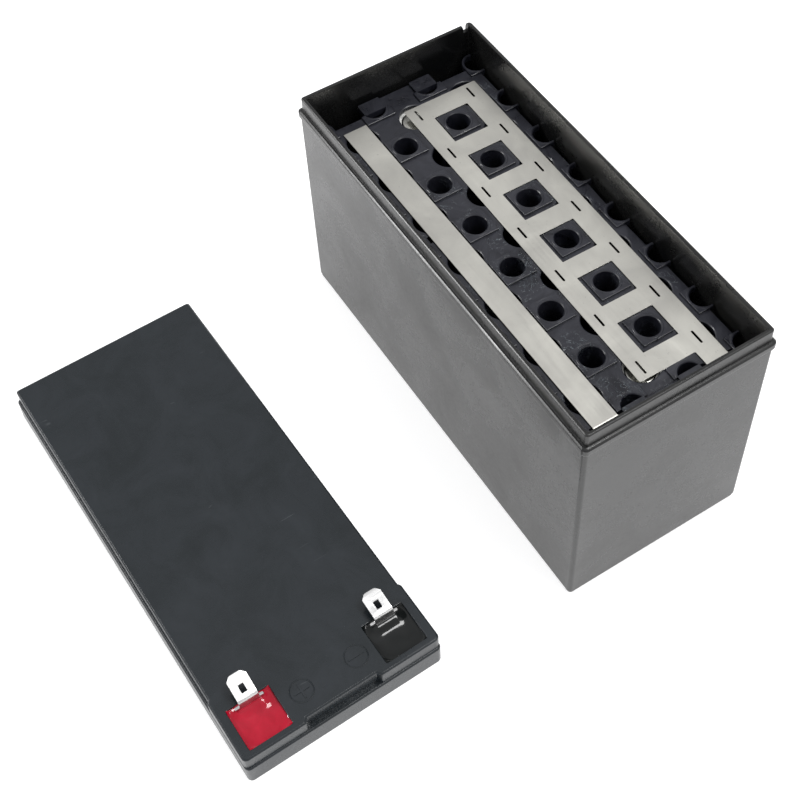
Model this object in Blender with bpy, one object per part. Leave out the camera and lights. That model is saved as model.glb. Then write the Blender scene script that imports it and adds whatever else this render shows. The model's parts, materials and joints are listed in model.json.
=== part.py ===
"""Twelve-volt battery pack in a rectangular case, with its lid lifted off and laid beside it.

Frame: the origin is the centre of the case's base, +Z is up, +X runs along the case to the end
where the terminals sit when the lid is on, and the lid lies on the floor on the -Y side.
Units are metres, and MM turns millimetres into metres.
"""

import math

import bmesh
import bpy
from mathutils import Matrix, Vector

MM = 0.001
GAP = 0.3 * MM

# Case: a thin-walled box with a bead round the top, and a lip that enters the lid.
CASE_LENGTH = 151.0 * MM
CASE_WIDTH = 65.0 * MM
BEAD_OUT = 0.55 * MM
BEAD_BOTTOM = 77.4 * MM
BEAD_TOP = 80.5 * MM
BEAD_CHAMFER = 0.6 * MM
LIP_TOP = 85.5 * MM
LIP_INSET = 1.15 * MM
WALL = 1.95 * MM
FLOOR_TOP = 2.5 * MM
PLINTH_HEIGHT = 1.5 * MM
PLINTH_INSET = 0.3 * MM
CORNER_RADIUS = 1.5 * MM
LIP_RADIUS = 1.0 * MM
RIB_HEIGHT = 1.2 * MM
RIB_WIDTH = 2.0 * MM
RIB_COUNT = 5
NOTCH_FROM = 27.6 * MM
NOTCH_TO = 29.8 * MM
NOTCH_DEPTH = 2.5 * MM

# Cell holders: a plate with raised pads on the cell side's outer face and sockets behind it.
PITCH = 19.28 * MM
CELLS_LONG = 7
CELLS_WIDE = 3
HOLDER_HALF_X = 66.6 * MM
HOLDER_HALF_Y = 28.0 * MM
PLATE_THICKNESS = 1.4 * MM
SOCKET_DEPTH = 8.0 * MM
SOCKET_RADIUS = 9.4 * MM
WINDOW_RADIUS = 5.35 * MM
PAD_SIDE = 10.0 * MM
EDGE_PAD_SIDE = 9.0 * MM
PAD_HEIGHT = 0.8 * MM
HORN_HEIGHT = 0.72 * MM
LUG_DROP = 0.175 * MM
VENT_RADIUS = 3.7 * MM
VENT_RING_RADIUS = 4.5 * MM
HORN_REACH_X = 72.0 * MM
HORN_REACH_Y = 29.5 * MM
LUG_REACH = 71.5 * MM
LUG_HALF_WIDTH = 13.3 * MM
LUG_PAD_FROM = 5.7 * MM

# The case's floor ribs cross under the pack at even steps, one rib under the middle cells.
RIB_SPACING = 1.5 * PITCH

# Heights of the pack in the case.
PACK_BOTTOM = FLOOR_TOP + RIB_HEIGHT + GAP
LOWER_RECESS = PACK_BOTTOM + PAD_HEIGHT
LOWER_INNER = LOWER_RECESS + PLATE_THICKNESS
CELL_BOTTOM = LOWER_INNER + GAP
CELL_LENGTH = 65.2 * MM
UPPER_INNER = CELL_BOTTOM + CELL_LENGTH + GAP
UPPER_RECESS = UPPER_INNER + PLATE_THICKNESS
PACK_TOP = UPPER_RECESS + PAD_HEIGHT

# Cells of size 18650, built from their own pieces.
CAN_RADIUS = 8.6 * MM
CAN_WALL = 0.4 * MM
CAN_EDGE = 0.4 * MM
GROOVE_DEPTH = 0.7 * MM
GROOVE_BOTTOM = 59.6 * MM
GROOVE_SLOPE = 0.7 * MM
GROOVE_FLAT = 0.6 * MM
CRIMP_TOP = 64.3 * MM
CRIMP_WIDTH = 1.3 * MM
CAP_BOTTOM = 62.2 * MM
CAP_FLANGE_RADIUS = 6.6 * MM
CAP_FLANGE_TOP = 62.9 * MM
CAP_TOP = 64.9 * MM
GASKET = (6.9 * MM, 7.8 * MM, 61.9 * MM, 63.5 * MM)
ROLL = (1.2 * MM, 7.8 * MM, 0.8 * MM, 58.8 * MM)
WASHER_SPAN = (64.6 * MM, 64.85 * MM)
SLEEVE_SPAN = (0.2 * MM, 65.0 * MM)
SLEEVE_INNER = 8.9 * MM
SLEEVE_OUTER = 9.1 * MM
BUTTON_RADIUS = 4.2 * MM
WASHER_INNER = 4.55 * MM
CELL_PLACES = (-(CELLS_LONG // 2), CELLS_LONG // 2)

# Nickel strips.
STRIP_THICKNESS = 0.2 * MM
STRIP_CLEARANCE = 0.22 * MM
SLIT_LENGTH = 4.9 * MM
SLIT_WIDTH = 0.7 * MM
LADDER_BACK = -61.7 * MM
LADDER_FRONT = 61.8 * MM
LADDER_RAIL_FRONT = 67.7 * MM
LADDER_LEFT = -3.15 * MM
LADDER_RIGHT = 23.15 * MM
LADDER_WINDOW = 12.2 * MM
LADDER_OFFSET = (0.4 * MM, 0.2 * MM)
LADDER_YAW = -0.0115
PLAIN_WIDTH = 8.2 * MM
PLAIN_BACK = -63.2 * MM
PLAIN_FRONT = 68.4 * MM
PLAIN_BEND = 67.2 * MM
PLAIN_BEND_DROP = 0.35 * MM
PLAIN_RISE = 0.04 * MM
PLAIN_SHIFT = 0.13 * MM

# Lid, in its own frame: centre of its rim at z = 0, its terminal end towards +X.
LID_LENGTH = CASE_LENGTH
LID_WIDTH = CASE_WIDTH
LID_HEIGHT = 13.5 * MM
LID_RADIUS = 1.6 * MM
LID_SKIRT_TOP = 8.2 * MM
LID_SKIRT_WALL = 0.8 * MM
LID_SKIRT_DEPTH = 5.3 * MM
LID_TOP_THICKNESS = 2.0 * MM
BAND_BACK = -74.8 * MM
BAND_FRONT = 73.4 * MM
BAND_HALF_WIDTH = 31.7 * MM
BAND_WALL = 1.3 * MM
BLOCK_BACK = 54.5 * MM
BLOCK_FRONT = 74.9 * MM
BLOCK_HALF_WIDTH = 32.4 * MM
BLOCK_GAP_HALF = 12.5 * MM
BLOCK_CHAMFER = 1.1 * MM
LID_PLACE = (-2.99 * MM, -109.55 * MM, 0.0)
LID_YAW = 0.0285

# Potting wells and terminals of the lid.
WELL_CENTRE_X = 65.95 * MM
WELL_CENTRE_Y = 22.4 * MM
WELL_LENGTH = 13.5 * MM
WELL_WIDTH = 13.8 * MM
WELL_FLOOR = 9.9 * MM
WELL_BOTTOM = 8.4 * MM
WELL_WALL = 1.4 * MM
POTTING_TOP = 13.2 * MM
TERMINAL_X = 60.7 * MM
TERMINAL_THICKNESS = 0.8 * MM
TERMINAL_FOOT = 4.6 * MM
TERMINAL_LEG_HALF = 1.6 * MM
TERMINAL_STEM_HALF = 3.0 * MM
SHOULDER_HALF = 4.65 * MM
SHOULDER_BOTTOM = 13.8 * MM
SHOULDER_HEIGHT = 0.9 * MM
SHOULDER_EDGE = 0.2 * MM
LEG_TOP = 7.5 * MM
LEG_SLOPE = 0.4 * MM
BLADE_HALF = 3.175 * MM
BLADE_LENGTH = 7.9 * MM
BLADE_CHAMFER = 1.4 * MM
BLADE_HOLE = (1.7 * MM, 2.5 * MM)
BLADE_HOLE_AT = 3.1 * MM
BEND_RADIUS = 1.0 * MM
BEND_STEPS = 5
POSITIVE_LEAN = math.radians(16.0)
NEGATIVE_LEAN = math.radians(8.0)
BEND_HEIGHT = 16.8 * MM

SIDES = 20
SOCKET_SIDES = 16
VENT_SIDES = 10
ARC_STEPS = 4


# ---------------------------------------------------------------- helpers

def clear_scene():
    for item in list(bpy.data.objects):
        bpy.data.objects.remove(item, do_unlink=True)


def make_material(name, colour, roughness, metallic=0.0):
    material = bpy.data.materials.new(name)
    material.use_nodes = True
    shader = material.node_tree.nodes["Principled BSDF"]
    shader.inputs["Base Color"].default_value = (*colour, 1.0)
    shader.inputs["Roughness"].default_value = roughness
    shader.inputs["Metallic"].default_value = metallic
    return material


def add_object(name, mesh, material=None, parent=None, matrix=None):
    item = bpy.data.objects.new(name, mesh)
    bpy.context.scene.collection.objects.link(item)
    if material is not None and not mesh.materials:
        mesh.materials.append(material)
    if parent is not None:
        item.parent = parent
    if matrix is not None:
        item.matrix_local = matrix
    return item


def mesh_from(bm, name, sharp_degrees=30.0):
    bmesh.ops.recalc_face_normals(bm, faces=bm.faces)
    mesh = bpy.data.meshes.new(name)
    bm.to_mesh(mesh)
    bm.free()
    mesh.shade_smooth()
    mesh.set_sharp_from_angle(angle=math.radians(sharp_degrees))
    return mesh


def circle(radius, centre=(0.0, 0.0), sides=SIDES):
    turn = 2.0 * math.pi / sides
    angles = [turn * (i + 0.5) for i in range(sides)]
    return [(centre[0] + radius * math.cos(a), centre[1] + radius * math.sin(a)) for a in angles]


def rounded(corners, radius):
    """Polygon whose corners are replaced by arcs of one radius, points counter-clockwise."""
    points = []
    count = len(corners)
    for i, corner in enumerate(corners):
        here = Vector(corner)
        before = (Vector(corners[i - 1]) - here).normalized()
        after = (Vector(corners[(i + 1) % count]) - here).normalized()
        half = before.angle(after) / 2.0
        centre = here + (before + after).normalized() * (radius / math.sin(half))
        start = here + before * (radius / math.tan(half)) - centre
        end = here + after * (radius / math.tan(half)) - centre
        sweep = start.angle_signed(end)
        for step in range(ARC_STEPS + 1):
            turn = Matrix.Rotation(-sweep * step / ARC_STEPS, 2)
            points.append(tuple(centre + turn @ start))
    return points


def rectangle(x0, x1, y0, y1):
    return [(x0, y0), (x1, y0), (x1, y1), (x0, y1)]


def box_outline(half_x, half_y, radius):
    return rounded(rectangle(-half_x, half_x, -half_y, half_y), radius)


def loft(bm, rings):
    """Closed skin through rings of (outline, z), all with the same number of points."""
    loops = []
    for outline, z in rings:
        loops.append([bm.verts.new((x, y, z)) for x, y in outline])
    for lower, upper in zip(loops, loops[1:]):
        count = len(lower)
        for i in range(count):
            j = (i + 1) % count
            bm.faces.new((lower[i], lower[j], upper[j], upper[i]))
    bm.faces.new(loops[0])
    bm.faces.new(loops[-1])


def prism(bm, outline, z0, z1):
    loft(bm, [(outline, z0), (outline, z1)])


def turned(bm, profile, closed_ring):
    """Solid of revolution from (radius, z) points; a point at radius 0 is a pole."""
    loops = []
    for radius, z in profile:
        if radius == 0.0:
            loops.append([bm.verts.new((0.0, 0.0, z))])
        else:
            loops.append([bm.verts.new((x, y, z)) for x, y in circle(radius)])
    pairs = list(zip(loops, loops[1:]))
    if closed_ring:
        pairs.append((loops[-1], loops[0]))
    for first, second in pairs:
        for i in range(SIDES):
            j = (i + 1) % SIDES
            corners = [first[i % len(first)], first[j % len(first)]]
            corners += [second[j % len(second)], second[i % len(second)]]
            unique = list(dict.fromkeys(corners))
            bm.faces.new(unique)


def turned_mesh(name, profile, closed_ring):
    bm = bmesh.new()
    turned(bm, profile, closed_ring)
    return mesh_from(bm, name)


def combined(name, base, tools):
    """Mesh of base after Boolean steps; tools is a list of (operation, mesh)."""
    body = add_object(name + "_body", base)
    helpers = []
    for operation, mesh in tools:
        helper = add_object(name + "_tool", mesh)
        helper.hide_render = True
        helper.display_type = "WIRE"
        helpers.append(helper)
        modifier = body.modifiers.new(operation.title(), "BOOLEAN")
        modifier.operation = operation
        modifier.object = helper
    graph = bpy.context.evaluated_depsgraph_get()
    mesh = bpy.data.meshes.new_from_object(body.evaluated_get(graph))
    mesh.name = name
    mesh.materials.clear()
    for item in [body] + helpers:
        bpy.data.objects.remove(item, do_unlink=True)
    mesh.shade_smooth()
    mesh.set_sharp_from_angle(angle=math.radians(30.0))
    return mesh


def prisms_mesh(name, parts):
    """One mesh of separate prisms, from a list of (outline, z0, z1)."""
    bm = bmesh.new()
    for outline, z0, z1 in parts:
        prism(bm, outline, z0, z1)
    return mesh_from(bm, name)


# ---------------------------------------------------------------- case

def case_mesh():
    wall_x = CASE_LENGTH / 2 - BEAD_OUT
    wall_y = CASE_WIDTH / 2 - BEAD_OUT
    wall = box_outline(wall_x, wall_y, CORNER_RADIUS)
    plinth = box_outline(wall_x - PLINTH_INSET, wall_y - PLINTH_INSET, CORNER_RADIUS)
    bead = box_outline(CASE_LENGTH / 2, CASE_WIDTH / 2, CORNER_RADIUS)
    lip = box_outline(CASE_LENGTH / 2 - LIP_INSET, CASE_WIDTH / 2 - LIP_INSET, LIP_RADIUS)
    hollow = box_outline(wall_x - WALL, wall_y - WALL, LIP_RADIUS)
    rings = [
        (plinth, 0.0),
        (plinth, PLINTH_HEIGHT),
        (wall, PLINTH_HEIGHT),
        (wall, BEAD_BOTTOM),
        (bead, BEAD_BOTTOM + BEAD_CHAMFER),
        (bead, BEAD_TOP - BEAD_CHAMFER / 2),
        (lip, BEAD_TOP),
        (lip, LIP_TOP),
        (hollow, LIP_TOP),
        (hollow, FLOOR_TOP),
    ]
    bm = bmesh.new()
    loft(bm, rings)
    shell = mesh_from(bm, "case_blank")
    reach = wall_x - WALL / 2
    rows = []
    for i in range(RIB_COUNT):
        middle = (i - (RIB_COUNT - 1) / 2) * RIB_SPACING
        side = wall_y - WALL / 2
        outline = rectangle(middle - RIB_WIDTH / 2, middle + RIB_WIDTH / 2, -side, side)
        rows.append((outline, FLOOR_TOP / 2, FLOOR_TOP + RIB_HEIGHT))
    ribs = prisms_mesh("case_ribs", rows)
    cut = rectangle(-CASE_LENGTH, -reach + WALL, NOTCH_FROM, NOTCH_TO)
    notch = prisms_mesh("case_notch", [(cut, LIP_TOP - NOTCH_DEPTH, LIP_TOP + NOTCH_DEPTH)])
    return combined("case_shell", shell, [("UNION", ribs), ("DIFFERENCE", notch)])


# ---------------------------------------------------------------- cell holders

def lattice(count, centred_on_cells=True):
    """Cell centres along one axis, or the places between and outside them."""
    if centred_on_cells:
        return [(i - (count - 1) / 2) * PITCH for i in range(count)]
    return [(i - count / 2) * PITCH for i in range(count + 1)]


def clipped_square(x, y, side, limit_x, limit_y):
    x0 = max(x - side / 2, -limit_x)
    x1 = min(x + side / 2, limit_x)
    y0 = max(y - side / 2, -limit_y)
    y1 = min(y + side / 2, limit_y)
    return rectangle(x0, x1, y0, y1)


def holder_block():
    """Plate and socket block as one, with the plate's outer face at z = 0."""
    below = -PLATE_THICKNESS - SOCKET_DEPTH
    block = rectangle(-HOLDER_HALF_X, HOLDER_HALF_X, -HOLDER_HALF_Y, HOLDER_HALF_Y)
    return prisms_mesh("holder_block", [(block, below, 0.0)])


def holder_pads():
    parts = []
    sunk = -PLATE_THICKNESS / 2
    for x in lattice(CELLS_LONG, False):
        for y in lattice(CELLS_WIDE, False):
            side = EDGE_PAD_SIDE if abs(y) > PITCH else PAD_SIDE
            pad = clipped_square(x, y, side, HOLDER_HALF_X, HOLDER_HALF_Y)
            parts.append((pad, sunk, PAD_HEIGHT))
    return prisms_mesh("holder_pads", parts)


def holder_horns():
    """Rings round the outermost holes, which reach past the plate's edge to the case wall."""
    parts = []
    xs = lattice(CELLS_LONG, False)
    ys = lattice(CELLS_WIDE, False)
    for x in xs:
        for y in (ys[0], ys[-1]):
            outline = circle(VENT_RING_RADIUS, (x, y), VENT_SIDES)
            outline = [(max(-HORN_REACH_X, min(HORN_REACH_X, px)), py) for px, py in outline]
            outline = [(px, max(-HORN_REACH_Y, min(HORN_REACH_Y, py))) for px, py in outline]
            parts.append((list(dict.fromkeys(outline)), -PLATE_THICKNESS, HORN_HEIGHT))
    return prisms_mesh("holder_horns", parts)


def holder_lugs():
    parts = []
    for end in (-1, 1):
        x0, x1 = sorted((end * (HOLDER_HALF_X - GAP), end * LUG_REACH))
        bar = rectangle(x0, x1, -LUG_HALF_WIDTH, LUG_HALF_WIDTH)
        parts.append((bar, -PLATE_THICKNESS, -LUG_DROP))
    return prisms_mesh("holder_lugs", parts)


def holder_lug_pads():
    parts = []
    for end in (-1, 1):
        x0, x1 = sorted((end * (HOLDER_HALF_X - GAP), end * LUG_REACH))
        for side in (-1, 1):
            y0, y1 = sorted((side * LUG_PAD_FROM, side * LUG_HALF_WIDTH))
            parts.append((rectangle(x0, x1, y0, y1), -PLATE_THICKNESS / 2, PAD_HEIGHT))
    return prisms_mesh("holder_lug_pads", parts)


def holder_vents():
    """Round holes between the cells, right through the block."""
    parts = []
    below = -PLATE_THICKNESS - SOCKET_DEPTH - MM
    for x in lattice(CELLS_LONG, False):
        for y in lattice(CELLS_WIDE, False):
            parts.append((circle(VENT_RADIUS, (x, y), VENT_SIDES), below, PAD_HEIGHT + MM))
    return prisms_mesh("holder_vents", parts)


def holder_sockets():
    """Stepped cutters: a wide socket from below and a smaller window through the plate."""
    bm = bmesh.new()
    below = -PLATE_THICKNESS - SOCKET_DEPTH - MM
    for x in lattice(CELLS_LONG):
        for y in lattice(CELLS_WIDE):
            socket = circle(SOCKET_RADIUS, (x, y), SOCKET_SIDES)
            window = circle(WINDOW_RADIUS, (x, y), SOCKET_SIDES)
            step = -PLATE_THICKNESS
            loft(bm, [(socket, below), (socket, step), (window, step), (window, MM)])
    return mesh_from(bm, "holder_sockets")


def holder_mesh():
    """Holder with the plate's outer face at z = 0, pads above it and sockets below."""
    tools = [
        ("UNION", holder_pads()),
        ("UNION", holder_horns()),
        ("DIFFERENCE", holder_vents()),
        ("UNION", holder_lugs()),
        ("UNION", holder_lug_pads()),
        ("DIFFERENCE", holder_sockets()),
    ]
    return combined("cell_holder", holder_block(), tools)


# ---------------------------------------------------------------- cells

def can_mesh():
    """Deep-drawn can with a rolled groove under its crimped mouth."""
    outer = CAN_RADIUS
    inner = CAN_RADIUS - CAN_WALL
    low = GROOVE_BOTTOM + GROOVE_SLOPE
    high = low + GROOVE_FLAT
    profile = [
        (0.0, 0.0),
        (outer - CAN_EDGE, 0.0),
        (outer, CAN_EDGE),
        (outer, GROOVE_BOTTOM),
        (outer - GROOVE_DEPTH, low),
        (outer - GROOVE_DEPTH, high),
        (outer, high + GROOVE_SLOPE),
        (outer, CRIMP_TOP - CAN_EDGE),
        (outer - CAN_EDGE, CRIMP_TOP),
        (outer - CRIMP_WIDTH, CRIMP_TOP),
        (outer - CRIMP_WIDTH, CRIMP_TOP - CAN_WALL),
        (inner, CRIMP_TOP - CAN_WALL - CAN_EDGE / 4),
        (inner, high + GROOVE_SLOPE + CAN_WALL / 2),
        (inner - GROOVE_DEPTH, high + CAN_WALL / 4),
        (inner - GROOVE_DEPTH, low - CAN_WALL / 4),
        (inner, GROOVE_BOTTOM - CAN_WALL / 2),
        (inner, CAN_WALL),
        (0.0, CAN_WALL),
    ]
    return turned_mesh("cell_can", profile, False)


def ring_mesh(name, inner, outer, z0, z1):
    return turned_mesh(name, [(inner, z0), (outer, z0), (outer, z1), (inner, z1)], True)


def cap_mesh():
    """Positive cap: a flange held by the gasket, and the button above it."""
    profile = [
        (0.0, CAP_BOTTOM),
        (CAP_FLANGE_RADIUS, CAP_BOTTOM),
        (CAP_FLANGE_RADIUS, CAP_FLANGE_TOP),
        (BUTTON_RADIUS + GAP, CAP_FLANGE_TOP),
        (BUTTON_RADIUS, CAP_TOP - CAN_EDGE),
        (BUTTON_RADIUS - CAN_EDGE, CAP_TOP),
        (0.0, CAP_TOP),
    ]
    return turned_mesh("cell_cap", profile, False)


def build_cells(materials):
    meshes = {
        "can": can_mesh(),
        "electrode_roll": ring_mesh("cell_roll", *ROLL),
        "gasket": ring_mesh("cell_gasket", *GASKET),
        "cap": cap_mesh(),
        "insulating_washer": ring_mesh("cell_washer", WASHER_INNER, CAN_RADIUS, *WASHER_SPAN),
        "sleeve": ring_mesh("cell_sleeve", SLEEVE_INNER, SLEEVE_OUTER, *SLEEVE_SPAN),
    }
    for number, place in enumerate(CELL_PLACES, start=1):
        matrix = Matrix.Translation((place * PITCH, 0.0, CELL_BOTTOM))
        for piece, mesh in meshes.items():
            add_object(f"cell_{number}_{piece}", mesh, materials[piece], matrix=matrix)


# ---------------------------------------------------------------- nickel strips

def slot_outline(x, y, length, width):
    return rectangle(x - length / 2, x + length / 2, y - width / 2, y + width / 2)


def ladder_mesh():
    """Two rails and seven rungs, with a square window over each pad and a slit over each cell."""
    blank = [
        (LADDER_BACK, LADDER_LEFT),
        (LADDER_FRONT, LADDER_LEFT),
        (LADDER_FRONT, PITCH / 2 + LADDER_WINDOW / 2),
        (LADDER_RAIL_FRONT, PITCH / 2 + LADDER_WINDOW / 2),
        (LADDER_RAIL_FRONT, LADDER_RIGHT),
        (LADDER_BACK, LADDER_RIGHT),
    ]
    sheet = prisms_mesh("ladder_blank", [(blank, 0.0, STRIP_THICKNESS)])
    cuts = []
    for x in lattice(CELLS_LONG, False)[1:-1]:
        window = slot_outline(x, PITCH / 2, LADDER_WINDOW, LADDER_WINDOW)
        cuts.append((window, -MM, MM))
    for x in lattice(CELLS_LONG):
        for y in (0.0, PITCH):
            cuts.append((slot_outline(x, y, SLIT_LENGTH, SLIT_WIDTH), -MM, MM))
    return combined("ladder_strip", sheet, [("DIFFERENCE", prisms_mesh("ladder_cuts", cuts))])


def plain_strip_mesh():
    """Flat strip whose last millimetre is bent down."""
    half = PLAIN_WIDTH / 2
    bm = bmesh.new()
    stations = [(PLAIN_BACK, 0.0), (PLAIN_BEND, 0.0), (PLAIN_FRONT, -PLAIN_BEND_DROP)]
    loops = []
    for x, z in stations:
        corners = ((-half, z), (half, z), (half, z + STRIP_THICKNESS), (-half, z + STRIP_THICKNESS))
        loops.append([bm.verts.new((x, y, height)) for y, height in corners])
    for first, second in zip(loops, loops[1:]):
        for i in range(4):
            j = (i + 1) % 4
            bm.faces.new((first[i], first[j], second[j], second[i]))
    bm.faces.new(loops[0])
    bm.faces.new(loops[-1])
    return mesh_from(bm, "plain_strip", 10.0)


def build_strips(material):
    ladder = ladder_mesh()
    plain = plain_strip_mesh()
    top = UPPER_RECESS + STRIP_CLEARANCE
    turn = Matrix.Rotation(LADDER_YAW, 4, "Z")
    matrix = Matrix.Translation((*LADDER_OFFSET, top)) @ turn
    add_object("ladder_strip_top", ladder, material, matrix=matrix)
    matrix = Matrix.Translation((0.0, -PITCH + PLAIN_SHIFT, top + PLAIN_RISE))
    add_object("plain_strip_top", plain, material, matrix=matrix)
    over = Matrix.Rotation(math.pi, 4, "X")
    under = Matrix.Translation((0.0, 0.0, LOWER_RECESS - STRIP_CLEARANCE)) @ over
    add_object("ladder_strip_bottom", ladder, material, matrix=under)
    shifted = under @ Matrix.Translation((0.0, -PITCH, 0.0))
    add_object("plain_strip_bottom", plain, material, matrix=shifted)


# ---------------------------------------------------------------- lid

def band_outline():
    """Outline of the lid's upper band: set in, but full width at the two terminal corners."""
    w, b, g, c = BAND_HALF_WIDTH, BLOCK_HALF_WIDTH, BLOCK_GAP_HALF, BLOCK_CHAMFER
    lower = [
        (BAND_BACK, -w),
        (BLOCK_BACK - c, -w),
        (BLOCK_BACK, -b),
        (BLOCK_FRONT, -b),
        (BLOCK_FRONT, -g),
        (BAND_FRONT, -g + c),
    ]
    upper = [(x, -y) for x, y in reversed(lower)]
    return lower + upper


def well_outline(side, grow=0.0):
    half_x = WELL_LENGTH / 2 + grow
    half_y = WELL_WIDTH / 2 + grow
    y = side * WELL_CENTRE_Y
    return rectangle(WELL_CENTRE_X - half_x, WELL_CENTRE_X + half_x, y - half_y, y + half_y)


def stem_slot(side):
    half_x = TERMINAL_THICKNESS / 2 + GAP
    half_y = TERMINAL_STEM_HALF + GAP
    y = side * WELL_CENTRE_Y
    return rectangle(TERMINAL_X - half_x, TERMINAL_X + half_x, y - half_y, y + half_y)


def lid_mesh():
    skirt = box_outline(LID_LENGTH / 2, LID_WIDTH / 2, LID_RADIUS)
    mouth_x = LID_LENGTH / 2 - LID_SKIRT_WALL
    mouth_y = LID_WIDTH / 2 - LID_SKIRT_WALL
    mouth = box_outline(mouth_x, mouth_y, LID_RADIUS - LID_SKIRT_WALL)
    room_x0 = BAND_BACK + BAND_WALL
    room_x1 = BAND_FRONT - BAND_WALL
    room_y = BAND_HALF_WIDTH - BAND_WALL
    room = rectangle(room_x0, room_x1, -room_y, room_y)
    room_top = LID_HEIGHT - LID_TOP_THICKNESS
    base = prisms_mesh("lid_base", [(skirt, 0.0, LID_SKIRT_TOP)])
    band = prisms_mesh("lid_band", [(band_outline(), LID_SKIRT_TOP / 2, LID_HEIGHT)])
    mouth_cut = prisms_mesh("lid_mouth", [(mouth, -MM, LID_SKIRT_DEPTH)])
    room_cut = prisms_mesh("lid_room", [(room, LID_SKIRT_DEPTH / 2, room_top)])
    above = LID_HEIGHT + MM
    within = LID_HEIGHT - MM
    cups = prisms_mesh("lid_cups", [(well_outline(s, WELL_WALL), WELL_BOTTOM, within) for s in (-1, 1)])
    wells = prisms_mesh("lid_wells", [(well_outline(s), WELL_FLOOR, above) for s in (-1, 1)])
    slots = prisms_mesh("lid_slots", [(stem_slot(s), WELL_BOTTOM - MM, LID_HEIGHT) for s in (-1, 1)])
    tools = [
        ("UNION", band),
        ("DIFFERENCE", mouth_cut),
        ("DIFFERENCE", room_cut),
        ("UNION", cups),
        ("DIFFERENCE", wells),
        ("DIFFERENCE", slots),
    ]
    return combined("lid_shell", base, tools)


def potting_mesh(side):
    block = prisms_mesh("potting_block", [(well_outline(side, -GAP), WELL_FLOOR + GAP, POTTING_TOP)])
    slot = prisms_mesh("potting_slot", [(stem_slot(side), WELL_FLOOR - MM, LID_HEIGHT + MM)])
    return combined("potting", block, [("DIFFERENCE", slot)])


def terminal_path(lean):
    """Stations (point, direction, half width) along the sheet, from its foot to its tip."""
    up = Vector((0.0, 0.0, 1.0))
    stations = [
        (TERMINAL_FOOT, TERMINAL_LEG_HALF),
        (LEG_TOP, TERMINAL_LEG_HALF),
        (LEG_TOP + LEG_SLOPE, TERMINAL_STEM_HALF),
        (SHOULDER_BOTTOM - SHOULDER_EDGE, TERMINAL_STEM_HALF),
        (SHOULDER_BOTTOM, SHOULDER_HALF),
        (SHOULDER_BOTTOM + SHOULDER_HEIGHT, SHOULDER_HALF),
        (SHOULDER_BOTTOM + SHOULDER_HEIGHT + SHOULDER_EDGE, BLADE_HALF),
    ]
    path = [(Vector((TERMINAL_X, 0.0, z)), up, half) for z, half in stations]
    turn = math.pi / 2 - lean
    set_back = BEND_RADIUS * math.tan(turn / 2)
    centre = Vector((TERMINAL_X - BEND_RADIUS, 0.0, BEND_HEIGHT - set_back))
    for step in range(BEND_STEPS + 1):
        angle = turn * step / BEND_STEPS
        outward = Vector((math.cos(angle), 0.0, math.sin(angle)))
        along = Vector((-math.sin(angle), 0.0, math.cos(angle)))
        path.append((centre + outward * BEND_RADIUS, along, BLADE_HALF))
    last, along, half = path[-1]
    straight = BLADE_LENGTH - set_back
    path.append((last + along * (straight - BLADE_CHAMFER), along, half))
    path.append((last + along * straight, along, half - BLADE_CHAMFER))
    return path


def terminal_mesh(side, lean):
    path = terminal_path(lean)
    y = side * WELL_CENTRE_Y
    bm = bmesh.new()
    loops = []
    for point, along, half in path:
        normal = Vector((along.z, 0.0, -along.x)) * (TERMINAL_THICKNESS / 2)
        middle = point + Vector((0.0, y, 0.0))
        across = Vector((0.0, half, 0.0))
        corners = (normal - across, normal + across, across - normal, -normal - across)
        loops.append([bm.verts.new(middle + corner) for corner in corners])
    for first, second in zip(loops, loops[1:]):
        for i in range(4):
            j = (i + 1) % 4
            bm.faces.new((first[i], first[j], second[j], second[i]))
    bm.faces.new(loops[0])
    bm.faces.new(loops[-1])
    sheet = mesh_from(bm, "terminal_sheet")
    punch = prisms_mesh("terminal_punch", [(slot_outline(0.0, 0.0, BLADE_HOLE[1], BLADE_HOLE[0]), -MM, MM)])
    blade_start = Vector((TERMINAL_X, y, BEND_HEIGHT))
    along = path[-1][1]
    tilt = Matrix.Rotation(lean, 4, "Y")
    punch.transform(Matrix.Translation(blade_start + along * BLADE_HOLE_AT) @ tilt)
    return combined("terminal", sheet, [("DIFFERENCE", punch)])


def build_lid(materials):
    frame = bpy.data.objects.new("lid_frame", None)
    bpy.context.scene.collection.objects.link(frame)
    frame.matrix_world = Matrix.Translation(LID_PLACE) @ Matrix.Rotation(LID_YAW, 4, "Z")
    add_object("lid_shell", lid_mesh(), materials["case"], parent=frame)
    add_object("positive_potting", potting_mesh(-1), materials["red_resin"], parent=frame)
    add_object("negative_potting", potting_mesh(1), materials["black_resin"], parent=frame)
    add_object("positive_terminal", terminal_mesh(-1, POSITIVE_LEAN), materials["tinned"], parent=frame)
    add_object("negative_terminal", terminal_mesh(1, NEGATIVE_LEAN), materials["tinned"], parent=frame)


# ---------------------------------------------------------------- whole part

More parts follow.
